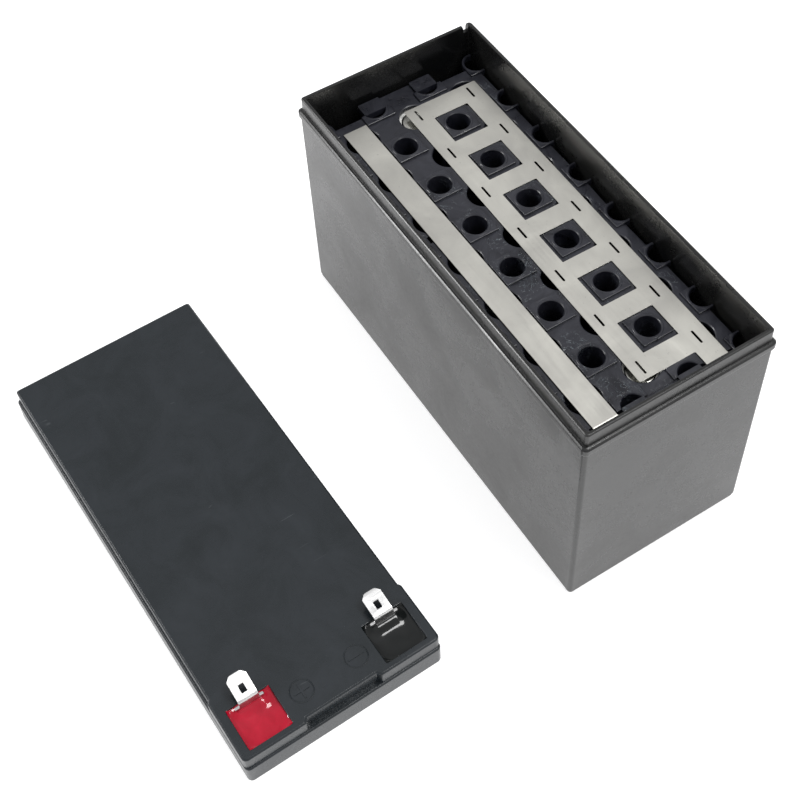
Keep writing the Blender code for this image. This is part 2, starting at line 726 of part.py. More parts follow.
def make_materials():
    return {
        "case": make_material("Black ABS", (0.035, 0.037, 0.04), 0.38),
        "holder": make_material("Holder plastic", (0.02, 0.021, 0.028), 0.42),
        "red_resin": make_material("Red resin", (0.5, 0.012, 0.03), 0.15),
        "black_resin": make_material("Black resin", (0.01, 0.011, 0.011), 0.12),
        "tinned": make_material("Tinned brass", (0.78, 0.78, 0.77), 0.25, 1.0),
        "nickel": make_material("Nickel", (0.6, 0.59, 0.55), 0.32, 1.0),
        "can": make_material("Cell steel", (0.6, 0.6, 0.6), 0.3, 1.0),
        "electrode_roll": make_material("Electrode roll", (0.05, 0.05, 0.055), 0.6),
        "gasket": make_material("Gasket", (0.03, 0.03, 0.03), 0.5),
        "cap": make_material("Cell cap", (0.65, 0.64, 0.6), 0.3, 1.0),
        "insulating_washer": make_material("Washer paper", (0.8, 0.8, 0.78), 0.6),
        "sleeve": make_material("Cell sleeve", (0.02, 0.022, 0.026), 0.35),
    }


def build_holders(material):
    mesh = holder_mesh()
    add_object("upper_cell_holder", mesh, material, matrix=Matrix.Translation((0.0, 0.0, UPPER_RECESS)))
    over = Matrix.Rotation(math.pi, 4, "X")
    flipped = Matrix.Translation((0.0, 0.0, LOWER_RECESS)) @ over
    add_object("lower_cell_holder", mesh, material, matrix=flipped)


def main():
    clear_scene()
    materials = make_materials()
    add_object("case_shell", case_mesh(), materials["case"])
    build_holders(materials["holder"])
    build_cells(materials)
    build_strips(materials["nickel"])
    build_lid(materials)


main()
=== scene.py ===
"""Looks of an open twelve-volt battery pack: case, cell holders, nickel strips, and the lid beside it."""
import json
import math

import bmesh
import bpy
from mathutils import Matrix, Vector, noise


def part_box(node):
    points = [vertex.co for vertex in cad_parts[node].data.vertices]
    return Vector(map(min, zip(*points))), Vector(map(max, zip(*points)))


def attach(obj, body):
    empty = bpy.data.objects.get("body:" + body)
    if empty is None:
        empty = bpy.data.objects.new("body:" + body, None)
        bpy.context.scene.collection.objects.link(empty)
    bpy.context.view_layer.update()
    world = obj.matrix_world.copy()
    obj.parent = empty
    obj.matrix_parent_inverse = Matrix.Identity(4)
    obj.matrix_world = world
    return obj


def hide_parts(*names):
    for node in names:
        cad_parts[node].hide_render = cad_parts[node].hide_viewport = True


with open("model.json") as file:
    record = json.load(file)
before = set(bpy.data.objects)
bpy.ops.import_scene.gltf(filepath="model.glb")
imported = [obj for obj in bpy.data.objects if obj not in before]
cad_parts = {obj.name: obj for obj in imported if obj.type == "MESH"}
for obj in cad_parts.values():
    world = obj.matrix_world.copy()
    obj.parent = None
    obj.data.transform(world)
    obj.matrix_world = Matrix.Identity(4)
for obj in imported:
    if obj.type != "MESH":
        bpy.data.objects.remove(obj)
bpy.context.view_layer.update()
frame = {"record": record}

MM = 0.001

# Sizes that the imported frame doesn't state by itself, in metres.
PITCH = 19.28 * MM
CELLS_LONG = 7
CELLS_WIDE = 3
WALL = 1.95 * MM
BEAD_OUT = 0.55 * MM
LID_RADIUS = 1.6 * MM
CASE_CORNER = 1.35 * MM
CASE_CORNER_LEAST = 0.7 * MM
NOTCH_SIDES = (27.9 * MM, 29.5 * MM)
NOTCH_ENDS = (-80.0 * MM, -70.0 * MM)
NOTCH_DEPTH = 2.5 * MM
NOTCH_FLARE = 1.2 * MM
FLOOR_TOP = 2.5 * MM
RIB_HEIGHT = 1.2 * MM
RIB_HALF = 1.0 * MM
RIB_COUNT = 5
RIB_SPACING = 1.5 * PITCH
PLATE = 1.4 * MM
PAD_HEIGHT = 0.8 * MM
PAD_SIDE = 10.1 * MM
EDGE_PAD_SIDE = 9.0 * MM
SOCKET_DEPTH = 8.0 * MM
SOCKET_RADIUS = 9.4 * MM
WINDOW_RADIUS = 5.3 * MM
WINDOW_MOUTH = 5.6 * MM
VENT_RADIUS = 3.7 * MM
VENT_MOUTH = 3.95 * MM
HORN_RADIUS = 4.5 * MM
HOLDER_HALF = (66.6 * MM, 28.0 * MM)
LUG_REACH = 71.5 * MM
LUG_HALF_WIDTH = 13.3 * MM
LUG_PAD_FROM = 5.7 * MM
HORN_REACH = (72.0 * MM, 29.5 * MM)
STRIP_THICKNESS = 0.2 * MM
LADDER_YAW = -0.0115
LADDER_OFFSET = (0.4 * MM, 0.2 * MM)

# The lid's own frame: its place and turn come from its box and from its tabs' mounts.
MOUNTS = {mount["name"]: mount for mount in frame["record"]["mounts"]}
TAB_NORMAL = Vector(MOUNTS["positive_blade"]["axis"])
LID_YAW = math.atan2(TAB_NORMAL.y, TAB_NORMAL.x)
LID_LOW, LID_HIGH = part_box("lid_shell")
LID_MATRIX = Matrix.Translation(((LID_LOW.x + LID_HIGH.x) / 2, (LID_LOW.y + LID_HIGH.y) / 2, LID_LOW.z))
LID_MATRIX = LID_MATRIX @ Matrix.Rotation(LID_YAW, 4, "Z")
LID_HEIGHT = LID_HIGH.z
LID_HALF = (75.5 * MM, 32.5 * MM)
SKIRT_WALL = 0.8 * MM
BAND_BACK = -74.8 * MM
BAND_FRONT = 73.4 * MM
BAND_HALF_WIDTH = 31.7 * MM
BLOCK_BACK = 54.5 * MM
BLOCK_FRONT = 74.9 * MM
BLOCK_HALF_WIDTH = 32.4 * MM
GAP_HALF_WIDTH = 12.5 * MM
BLOCK_EASE = 1.1 * MM
LID_TOP_THICKNESS = 2.0 * MM
BAND_WALL = 1.3 * MM
WELL_X = 65.95 * MM
WELL_Y = 22.4 * MM
WELL_HALF = (6.75 * MM, 6.9 * MM)
WELL_CORNER = 0.8 * MM
WELL_FLOOR = 9.9 * MM
CUP_WALL = 1.4 * MM
PLUS_PLACE = (66.0 * MM, -8.7 * MM)
MINUS_PLACE = (65.9 * MM, 9.4 * MM)
MARK_BAR = (2.5 * MM, 0.28 * MM)
MARK_RISE = 0.2 * MM
MARK_ROOT = 0.3 * MM
TAB_X = 60.7 * MM
TAB_THICKNESS = 0.8 * MM
STEM_HALF = 3.0 * MM
BEND_RADIUS = 1.0 * MM
BEND_HEIGHT = 16.8 * MM
BLADE_HALF = 3.175 * MM
BLADE_LENGTH = 7.9 * MM
HOLE_AT = 3.1 * MM
POSITIVE_LEAN = math.radians(16.0)
NEGATIVE_LEAN = math.radians(8.0)

ARC = 8
ROUND = 40


# ---------------------------------------------------------------- mesh tools

def finished(bm, name, sharp=32.0):
    bmesh.ops.recalc_face_normals(bm, faces=bm.faces)
    mesh = bpy.data.meshes.new(name)
    bm.to_mesh(mesh)
    bm.free()
    mesh.shade_smooth()
    mesh.set_sharp_from_angle(angle=math.radians(sharp))
    return mesh


def circle(radius, centre=(0.0, 0.0), sides=ROUND):
    turn = 2.0 * math.pi / sides
    x, y = centre
    return [(x + radius * math.cos(turn * i), y + radius * math.sin(turn * i)) for i in range(sides)]


def rectangle(x0, x1, y0, y1):
    return [(x0, y0), (x1, y0), (x1, y1), (x0, y1)]


def rounded(corners, radius, steps=ARC):
    """Corners, anticlockwise, each replaced by an arc; radius is one number or one per corner."""
    points = []
    count = len(corners)
    radii = radius if isinstance(radius, (list, tuple)) else [radius] * count
    for i, corner in enumerate(corners):
        here = Vector(corner)
        before = (Vector(corners[i - 1]) - here).normalized()
        after = (Vector(corners[(i + 1) % count]) - here).normalized()
        half = before.angle(after) / 2.0
        centre = here + (before + after).normalized() * (radii[i] / math.sin(half))
        start = here + before * (radii[i] / math.tan(half)) - centre
        end = here + after * (radii[i] / math.tan(half)) - centre
        sweep = start.angle_signed(end)
        for step in range(steps + 1):
            points.append(tuple(centre + Matrix.Rotation(-sweep * step / steps, 2) @ start))
    return points


def box_outline(half_x, half_y, radius, steps=ARC):
    return rounded(rectangle(-half_x, half_x, -half_y, half_y), radius, steps)


def loft(bm, rings):
    loops = [[bm.verts.new((x, y, z)) for x, y in outline] for outline, z in rings]
    for lower, upper in zip(loops, loops[1:]):
        for i in range(len(lower)):
            j = (i + 1) % len(lower)
            bm.faces.new((lower[i], lower[j], upper[j], upper[i]))
    bm.faces.new(loops[0])
    bm.faces.new(loops[-1])


def prisms(name, parts):
    bm = bmesh.new()
    for outline, z0, z1 in parts:
        loft(bm, [(outline, z0), (outline, z1)])
    return finished(bm, name)


def lofts(name, stacks):
    bm = bmesh.new()
    for rings in stacks:
        loft(bm, rings)
    return finished(bm, name)


def turned(name, profile, closed=False, sides=64):
    """Solid of revolution from (radius, z) points; a point at radius 0 is a pole."""
    bm = bmesh.new()
    loops = []
    for radius, z in profile:
        ring = [(0.0, 0.0)] if radius == 0.0 else circle(radius, sides=sides)
        loops.append([bm.verts.new((x, y, z)) for x, y in ring])
    pairs = list(zip(loops, loops[1:])) + ([(loops[-1], loops[0])] if closed else [])
    for first, second in pairs:
        for i in range(sides):
            j = (i + 1) % sides
            corners = [first[i % len(first)], first[j % len(first)]]
            corners += [second[j % len(second)], second[i % len(second)]]
            bm.faces.new(list(dict.fromkeys(corners)))
    return finished(bm, name)


def modified(name, mesh, setups):
    """The mesh after modifiers; setups is a list of (type, {setting: value})."""
    item = bpy.data.objects.new(name, mesh)
    bpy.context.scene.collection.objects.link(item)
    for kind, settings in setups:
        modifier = item.modifiers.new(kind.title(), kind)
        for key, value in settings.items():
            setattr(modifier, key, value)
    graph = bpy.context.evaluated_depsgraph_get()
    result = bpy.data.meshes.new_from_object(item.evaluated_get(graph))
    bpy.data.objects.remove(item, do_unlink=True)
    result.name = name
    result.materials.clear()
    result.shade_smooth()
    result.set_sharp_from_angle(angle=math.radians(32.0))
    return result


def carved(name, mesh, tools):
    """Boolean steps in order; tools is a list of (operation, mesh)."""
    setups = []
    helpers = []
    for operation, tool in tools:
        helper = bpy.data.objects.new(name + "_tool", tool)
        bpy.context.scene.collection.objects.link(helper)
        helpers.append(helper)
        setups.append(("BOOLEAN", {"operation": operation, "object": helper, "solver": "MANIFOLD"}))
    result = modified(name, mesh, setups)
    for helper in helpers:
        bpy.data.objects.remove(helper, do_unlink=True)
    return result


def bevelled(name, mesh, width, degrees):
    settings = {"width": width, "segments": 2, "limit_method": "ANGLE", "miter_outer": "MITER_ARC"}
    settings["angle_limit"] = math.radians(degrees)
    return modified(name, mesh, [("BEVEL", settings)])


def evened(mesh):
    """The mesh with its normals weighted by face area, so large flats shade flat beside small bevels."""
    item = bpy.data.objects.new(mesh.name, mesh)
    bpy.context.scene.collection.objects.link(item)
    modifier = item.modifiers.new("Weighted", "WEIGHTED_NORMAL")
    modifier.weight = 100
    modifier.keep_sharp = True
    graph = bpy.context.evaluated_depsgraph_get()
    result = bpy.data.meshes.new_from_object(item.evaluated_get(graph))
    bpy.data.objects.remove(item, do_unlink=True)
    return result


def piece(name, mesh, body, material, nodes, matrix=None):
    if matrix is not None:
        mesh = mesh.copy()
        mesh.transform(matrix)
    mesh = evened(mesh)
    mesh.name = name
    mesh.materials.clear()
    mesh.materials.append(material)
    item = bpy.data.objects.new(name, mesh)
    bpy.context.scene.collection.objects.link(item)
    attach(item, body)
    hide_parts(*nodes)
    return item


# ---------------------------------------------------------------- material tools

class Paint:
    """A Principled material with short calls for the node chains that every finish here shares."""

    def __init__(self, name, colour, roughness, metallic=0.0):
        self.material = bpy.data.materials.new(name)
        self.material.use_nodes = True
        self.tree = self.material.node_tree
        self.shader = self.tree.nodes["Principled BSDF"]
        self.shader.inputs["Base Color"].default_value = (*colour, 1.0)
        self.shader.inputs["Roughness"].default_value = roughness
        self.shader.inputs["Metallic"].default_value = metallic
        self.place = self.tree.nodes.new("ShaderNodeTexCoord").outputs["Object"]
        self.height = None

    def node(self, kind, settings=(), **inputs):
        item = self.tree.nodes.new("ShaderNode" + kind)
        for key, value in settings:
            setattr(item, key, value)
        for key, value in inputs.items():
            socket = item.inputs[int(key[1:])] if key[0] == "i" and key[1:].isdigit() else item.inputs[key]
            if isinstance(value, bpy.types.NodeSocket):
                self.tree.links.new(value, socket)
            else:
                socket.default_value = value
        return item

    def stretched(self, scale, turn=0.0):
        mapping = self.node("Mapping", Vector=self.place, Scale=scale, Rotation=(0.0, 0.0, turn))
        return mapping.outputs[0]

    def noise(self, scale, detail=3.0, rough=0.55, distortion=0.0, where=None):
        item = self.node("TexNoise", Vector=where or self.place, Scale=scale, Detail=detail,
                         Roughness=rough, Distortion=distortion)
        return item.outputs["Fac"]

    def ramp(self, value, low, high, to_low=0.0, to_high=1.0):
        return self.node("MapRange", i0=value, i1=low, i2=high, i3=to_low, i4=to_high).outputs[0]

    def calc(self, first, second, operation="ADD"):
        return self.node("Math", [("operation", operation)], i0=first, i1=second).outputs[0]

    def scratches(self, scale, width, turn, mask_scale=40.0, amount=0.62):
        """Thin broken lines: the edges of long stretched cells, kept only in patches."""
        where = self.stretched((1.0, 0.06, 1.0), turn)
        cells = self.node("TexVoronoi", [("feature", "DISTANCE_TO_EDGE")], Vector=where, Scale=scale)
        line = self.ramp(cells.outputs["Distance"], width, 0.0)
        patches = self.ramp(self.noise(mask_scale, 2.0), amount, amount + 0.05)
        return self.calc(line, patches, "MULTIPLY")

    def mix(self, factor, first, second):
        item = self.node("Mix", [("data_type", "RGBA")])
        sockets = (item.inputs[0], item.inputs[6], item.inputs[7])
        for socket, value in zip(sockets, (factor, first, second)):
            if isinstance(value, bpy.types.NodeSocket):
                self.tree.links.new(value, socket)
            else:
                socket.default_value = value if isinstance(value, float) else (*value, 1.0)
        return item.outputs[2]

    def colour(self, value):
        self.tree.links.new(value, self.shader.inputs["Base Color"])

    def rough(self, value):
        self.tree.links.new(value, self.shader.inputs["Roughness"])

    def bump(self, value, distance, strength=1.0):
        item = self.node("Bump", Height=value, Distance=distance, Strength=strength)
        if self.height is not None:
            self.tree.links.new(self.height, item.inputs["Normal"])
        self.height = item.outputs[0]
        self.tree.links.new(self.height, self.shader.inputs["Normal"])


def case_plastic():
    """Black ABS with a satin mould finish, soft waves, handling smudges and faint scratches."""
    paint = Paint("case_plastic", (0.014, 0.015, 0.017), 0.3)
    smudge = paint.noise(38.0, 4.0, 0.6, 0.6)
    fine = paint.noise(900.0, 3.0)
    marks = paint.scratches(150.0, 0.006, 0.5, 60.0, 0.68)
    tone = paint.mix(paint.ramp(smudge, 0.35, 0.7), (0.004, 0.0042, 0.0045), (0.012, 0.0120, 0.0114))
    paint.colour(paint.mix(paint.calc(marks, 0.25, "MULTIPLY"), tone, (0.08, 0.085, 0.09)))
    gloss = paint.ramp(smudge, 0.3, 0.75, 0.20, 0.36)
    paint.rough(paint.calc(gloss, paint.ramp(fine, 0.2, 0.8, -0.03, 0.05)))
    paint.bump(paint.noise(30.0, 2.0), 0.0006, 0.3)
    paint.bump(fine, 0.00002, 0.4)
    return paint.material


def lid_plastic():
    """The lid's slate top: finer mould texture and more dust than the case."""
    paint = Paint("lid_plastic", (0.02, 0.024, 0.028), 0.42)
    cloud = paint.noise(60.0, 5.0, 0.65, 0.5)
    fine = paint.noise(1500.0, 3.0)
    marks = paint.scratches(140.0, 0.009, 0.9, 60.0, 0.66)
    tone = paint.mix(paint.ramp(cloud, 0.3, 0.7), (0.005, 0.0082, 0.0105), (0.011, 0.0148, 0.0190))
    dust = paint.ramp(paint.noise(2600.0, 1.0), 0.76, 0.82)
    tone = paint.mix(paint.calc(dust, 0.25, "MULTIPLY"), tone, (0.12, 0.13, 0.14))
    paint.colour(paint.mix(paint.calc(marks, 0.6, "MULTIPLY"), tone, (0.13, 0.14, 0.15)))
    gloss = paint.ramp(cloud, 0.3, 0.7, 0.23, 0.33)
    paint.rough(paint.calc(gloss, paint.ramp(fine, 0.2, 0.8, -0.03, 0.04)))
    paint.bump(paint.noise(22.0, 2.0), 0.0003, 0.2)
    paint.bump(fine, 0.00003, 0.5)
    return paint.material


def holder_plastic():
    """Blue-black moulded plastic with flow marks, and thin glossy wrinkles in patches; the wrinkles' lighter
    base colour is a painted highlight.
    """
    paint = Paint("holder_plastic", (0.012, 0.012, 0.017), 0.35)
    flow = paint.noise(90.0, 5.0, 0.65, 1.4)
    fine = paint.noise(700.0, 4.0, 0.6)
    tone = paint.mix(paint.ramp(flow, 0.3, 0.72), (0.004, 0.0045, 0.008), (0.019, 0.020, 0.028))
    bands = paint.calc(paint.calc(paint.noise(160.0, 3.0, 0.6, 2.2), 0.5, "SUBTRACT"), 0.0, "ABSOLUTE")
    wrinkle = paint.ramp(bands, 0.014, 0.0)
    patch = paint.ramp(paint.noise(75.0, 2.0), 0.54, 0.60)
    wrinkle_and_painted_glint = paint.calc(wrinkle, patch, "MULTIPLY")
    # The wrinkle mask lightens the base colour as a painted highlight; its roughness drop and bump below are
    # real gloss and relief.
    paint.colour(paint.mix(paint.calc(wrinkle_and_painted_glint, 0.55, "MULTIPLY"), tone, (0.16, 0.19, 0.21)))
    gloss = paint.ramp(flow, 0.3, 0.7, 0.22, 0.46)
    paint.rough(paint.calc(gloss, paint.calc(wrinkle_and_painted_glint, 0.1, "MULTIPLY"), "SUBTRACT"))
    paint.bump(flow, 0.0005, 0.5)
    paint.bump(fine, 0.00005, 0.5)
    paint.bump(wrinkle_and_painted_glint, 0.00015, 0.6)
    return paint.material


def sheet_metal(name, light, dark, roughness, grain_axis, dent=45.0):
    """Rolled sheet: grain along one axis, soft stains and small dents."""
    paint = Paint(name, light, roughness, 1.0)
    grain = paint.noise(1.0, 4.0, 0.6, 0.0, paint.stretched(grain_axis))
    stain = paint.noise(60.0, 4.0, 0.6, 0.5)
    tone = paint.mix(paint.ramp(stain, 0.3, 0.72), dark, light)
    speck = paint.ramp(paint.noise(1200.0, 2.0), 0.68, 0.76)
    paint.colour(paint.mix(paint.calc(speck, 0.35, "MULTIPLY"), tone, tuple(0.6 * v for v in dark)))
    paint.rough(paint.calc(paint.ramp(grain, 0.25, 0.75, roughness - 0.06, roughness + 0.08),
                          paint.ramp(stain, 0.3, 0.7, -0.03, 0.03)))
    paint.bump(grain, 0.00003, 0.35)
    paint.bump(paint.noise(dent, 2.0), 0.02 / dent, 0.25)
    return paint.material


def resin(name, deep, thin):
    """Poured epoxy: wet gloss, slight cloudiness and small ripples."""
    paint = Paint(name, deep, 0.07)
    paint.shader.inputs["Specular IOR Level"].default_value = 0.32
    cloud = paint.noise(240.0, 3.0, 0.5, 0.6)
    paint.colour(paint.mix(paint.ramp(cloud, 0.3, 0.75), deep, thin))
    paint.rough(paint.ramp(cloud, 0.3, 0.7, 0.05, 0.11))
    paint.bump(paint.noise(180.0, 1.0), 0.0002, 0.2)
    return paint.material


def soft_part(name, colour, shade, roughness, scale=260.0):
    paint = Paint(name, colour, roughness)
    cloud = paint.noise(scale, 4.0, 0.6, 0.3)
    paint.colour(paint.mix(paint.ramp(cloud, 0.3, 0.7), shade, colour))
    paint.rough(paint.ramp(cloud, 0.3, 0.7, roughness - 0.06, roughness + 0.06))
    paint.bump(paint.noise(scale * 5.0, 3.0), 0.00004, 0.5)
    return paint.material


# ---------------------------------------------------------------- case

def build_case(material):
    """The tub: one loft up the outside and down the inside, by (inset, height) points in millimetres."""
    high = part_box("case_shell")[1]
    wall_x = high.x - BEAD_OUT
    wall_y = high.y - BEAD_OUT
    profile = [
        (0.7, 0.0), (0.4, 0.1), (0.3, 0.35), (0.3, 1.4), (0.24, 1.5), (0.06, 1.54), (0.0, 1.7),
        (0.0, 77.1), (-0.05, 77.35), (-0.2, 77.55), (-0.42, 77.8), (-0.52, 78.0), (-0.55, 78.25),
        (-0.55, 79.88), (-0.51, 79.99), (0.03, 80.42), (0.14, 80.46), (0.5, 80.5), (0.58, 80.58), (0.6, 80.85),
        (0.6, 85.12), (0.63, 85.2), (0.96, 85.46), (1.06, 85.5), (1.6, 85.5), (1.82, 85.42), (1.93, 85.2),
        (1.95, 84.9), (1.95, 3.1), (2.15, 2.65), (2.6, 2.5),
    ]
    rings = []
    for inset, z in profile:
        inset *= MM
        radius = max(CASE_CORNER_LEAST, CASE_CORNER - inset * 0.5)
        rings.append((box_outline(wall_x - inset, wall_y - inset, radius), z * MM))
    shell = lofts("case_blank", [rings])
    ribs = []
    half_length = wall_y - WALL / 2
    for i in range(RIB_COUNT):
        middle = (i - RIB_COUNT // 2) * RIB_SPACING
        outline = rectangle(middle - RIB_HALF, middle + RIB_HALF, -half_length, half_length)
        ribs.append((outline, FLOOR_TOP / 2, FLOOR_TOP + RIB_HEIGHT))
    narrow = rounded(rectangle(*NOTCH_ENDS, *NOTCH_SIDES), 0.4 * MM, 3)
    notch_middle = sum(NOTCH_SIDES) / 2
    wide = [(x, y + math.copysign(0.5 * MM, y - notch_middle)) for x, y in narrow]
    rings = [(narrow, high.z - NOTCH_DEPTH), (narrow, high.z - NOTCH_FLARE), (wide, high.z + MM)]
    notch = lofts("case_notch", [rings])
    mesh = carved("case", shell, [("UNION", prisms("case_ribs", ribs)), ("DIFFERENCE", notch)])
    piece("case_body", mesh, "case", material, ["case_shell"])


# ---------------------------------------------------------------- cell holders

def lattice(count, on_cells=True):
    if on_cells:
        return [(i - (count - 1) / 2) * PITCH for i in range(count)]
    return [(i - count / 2) * PITCH for i in range(count + 1)]


def clamped(outline, limit_x, limit_y):
    return [(max(-limit_x, min(limit_x, x)), max(-limit_y, min(limit_y, y))) for x, y in outline]


def square_ring(x, y, side):
    """Points of a square in the directions of a circle's points, so the two loft together."""
    points = []
    for px, py in circle(1.0):
        reach = side / 2 / max(abs(px), abs(py))
        points.append((x + px * reach, y + py * reach))
    return points


def pad_stacks():
    stacks = []
    for x in lattice(CELLS_LONG, False):
        for y in lattice(CELLS_WIDE, False):
            side = EDGE_PAD_SIDE if abs(y) > PITCH else PAD_SIDE
            rings = [
                (square_ring(x, y, side), -0.7 * MM),
                (square_ring(x, y, side), PAD_HEIGHT - 0.14 * MM),
                (square_ring(x, y, side - 0.3 * MM), PAD_HEIGHT - 0.05 * MM),
                (circle(4.55 * MM, (x, y)), PAD_HEIGHT - 0.12 * MM),
                (circle(4.4 * MM, (x, y)), PAD_HEIGHT - 0.01 * MM),
                (circle(4.1 * MM, (x, y)), PAD_HEIGHT),
            ]
            stacks.append([(clamped(ring, *HOLDER_HALF), z) for ring, z in rings])
    return stacks


def horn_stacks():
    stacks = []
    ys = lattice(CELLS_WIDE, False)
    for x in lattice(CELLS_LONG, False):
        for y in (ys[0], ys[-1]):
            lower = clamped(circle(HORN_RADIUS, (x, y)), *HORN_REACH)
            upper = clamped(circle(HORN_RADIUS - 0.15 * MM, (x, y)), *HORN_REACH)
            rings = [(lower, -PLATE), (lower, PAD_HEIGHT - 0.2 * MM), (upper, PAD_HEIGHT - 0.06 * MM)]
            stacks.append(rings)
    return stacks


def vent_stacks():
    stacks = []
    for x in lattice(CELLS_LONG, False):
        for y in lattice(CELLS_WIDE, False):
            narrow = circle(VENT_RADIUS, (x, y))
            mouth = circle(VENT_MOUTH, (x, y))
            rings = [(narrow, -PLATE - SOCKET_DEPTH - MM), (narrow, PAD_HEIGHT - 0.25 * MM)]
            stacks.append(rings + [(mouth, PAD_HEIGHT), (mouth, PAD_HEIGHT + MM)])
    return stacks


def socket_stacks():
    stacks = []
    for x in lattice(CELLS_LONG):
        for y in lattice(CELLS_WIDE):
            socket = circle(SOCKET_RADIUS, (x, y))
            window = circle(WINDOW_RADIUS, (x, y))
            mouth = circle(WINDOW_MOUTH, (x, y))
            rings = [(socket, -PLATE - SOCKET_DEPTH - MM), (socket, -PLATE), (window, -PLATE)]
            stacks.append(rings + [(window, -0.22 * MM), (mouth, 0.0), (mouth, MM)])
    return stacks


def lug_parts(pads):
    parts = []
    for end in (-1, 1):
        x0, x1 = sorted((end * (HOLDER_HALF[0] - 0.3 * MM), end * LUG_REACH))
        if not pads:
            parts.append((rectangle(x0, x1, -LUG_HALF_WIDTH, LUG_HALF_WIDTH), -PLATE, -0.175 * MM))
            continue
        for side in (-1, 1):
            y0, y1 = sorted((side * LUG_PAD_FROM, side * LUG_HALF_WIDTH))
            outline = rounded(rectangle(x0, x1, y0, y1), 0.5 * MM, 3)
            parts.append((outline, -PLATE / 2, PAD_HEIGHT))
    return parts


def build_holders(material):
    base = box_outline(*HOLDER_HALF, 0.8 * MM, 3)
    block = prisms("holder_block", [(base, -PLATE - SOCKET_DEPTH, 0.0)])
    tools = [
        ("UNION", lofts("pads", pad_stacks())),
        ("UNION", lofts("horns", horn_stacks())),
        ("DIFFERENCE", lofts("vents", vent_stacks())),
        ("UNION", prisms("lugs", lug_parts(False))),
        ("UNION", prisms("lug_pads", lug_parts(True))),
        ("DIFFERENCE", lofts("sockets", socket_stacks())),
    ]
    mesh = carved("holder", block, tools)
    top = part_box("upper_cell_holder")[1].z - PAD_HEIGHT
    place = Matrix.Translation((0.0, 0.0, top))
    piece("holder_upper", mesh, "upper_holder", material, ["upper_cell_holder"], place)
    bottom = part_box("lower_cell_holder")[0].z + PAD_HEIGHT
    place = Matrix.Translation((0.0, 0.0, bottom)) @ Matrix.Rotation(math.pi, 4, "X")
    piece("holder_lower", mesh, "pack", material, ["lower_cell_holder"], place)


# ---------------------------------------------------------------- cells

def cell_profiles():
    """Profile of each piece of a cell: ((radius, height) points in millimetres, closed ring)."""
    can = [
        (0.0, 0.0), (8.1, 0.0), (8.45, 0.12), (8.6, 0.5), (8.6, 59.5), (8.45, 59.8), (7.95, 60.2),
        (7.85, 60.6), (7.95, 61.0), (8.45, 61.4), (8.6, 61.7), (8.6, 63.7), (8.45, 64.1), (8.1, 64.3),
        (7.4, 64.3), (7.3, 64.1), (7.3, 63.9), (8.1, 63.8), (8.2, 63.6), (8.2, 61.8), (7.6, 61.2),
        (7.5, 60.6), (7.6, 60.0), (8.2, 59.4), (8.2, 0.5), (8.1, 0.4), (0.0, 0.4),
    ]
    cap = [
        (0.0, 62.2), (6.6, 62.2), (6.65, 62.4), (6.6, 62.9), (5.0, 62.95), (4.6, 63.2), (4.4, 64.3),
        (4.25, 64.7), (3.95, 64.88), (0.0, 64.9),
    ]
    rings = {
        "gasket": (6.9, 7.75, 61.9, 63.5),
        "insulating_washer": (4.6, 8.55, 64.6, 64.85),
        "electrode_roll": (1.2, 7.7, 0.8, 58.8),
        "sleeve": (8.9, 9.1, 0.2, 65.0),
    }
    shapes = {"can": (can, False), "cap": (cap, False)}
    for name, (inner, outer, z0, z1) in rings.items():
        edge = min(0.08, (outer - inner) / 4, (z1 - z0) / 4)
        points = [(inner, z0 + edge), (inner + edge, z0), (outer - edge, z0), (outer, z0 + edge),
                  (outer, z1 - edge), (outer - edge, z1), (inner + edge, z1), (inner, z1 - edge)]
        shapes[name] = (points, True)
    return shapes


def build_cells(materials):
    slots = {"can": "cell_steel", "cap": "cell_steel", "gasket": "gasket", "sleeve": "cell_sleeve",
             "insulating_washer": "washer_paper", "electrode_roll": "electrode_roll"}
    for shape, (points, closed) in cell_profiles().items():
        mesh = turned("cell_" + shape, [(r * MM, z * MM) for r, z in points], closed)
        for number in (1, 2):
            node = f"cell_{number}_{shape}"
            low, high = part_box(f"cell_{number}_can")
            place = Matrix.Translation(((low.x + high.x) / 2, (low.y + high.y) / 2, low.z))
            piece(f"round_{node}", mesh, "pack", materials[slots[shape]], [node], place)


# ---------------------------------------------------------------- nickel strips

def ladder_mesh():
    half_window = 6.1 * MM
    back, front, rail_front = -61.7 * MM, 61.8 * MM, 67.7 * MM
    left, right = -3.15 * MM, 23.15 * MM
    middle = PITCH / 2
    step = middle + half_window
    corners = [(back, left), (front, left), (front, step),
               (rail_front, step), (rail_front, right), (back, right)]
    blank = rounded(corners, [0.5 * MM, 0.5 * MM, 0.3 * MM, 0.3 * MM, 0.3 * MM, 0.5 * MM], 4)
    sheet = prisms("ladder_blank", [(blank, 0.0, STRIP_THICKNESS)])
    cuts = []
    for x in lattice(CELLS_LONG, False)[1:-1]:
        square = rectangle(x - half_window, x + half_window, middle - half_window, middle + half_window)
        cuts.append((rounded(square, 0.25 * MM, 3), -MM, MM))
    for x in lattice(CELLS_LONG):
        for y in (0.0, PITCH):
            slit = rectangle(x - 2.45 * MM, x + 2.45 * MM, y - 0.36 * MM, y + 0.36 * MM)
            cuts.append((rounded(slit, 0.34 * MM, 3), -MM, MM))
    mesh = carved("ladder", sheet, [("DIFFERENCE", prisms("ladder_cuts", cuts))])
    return bevelled("ladder_soft", mesh, 0.06 * MM, 60.0)


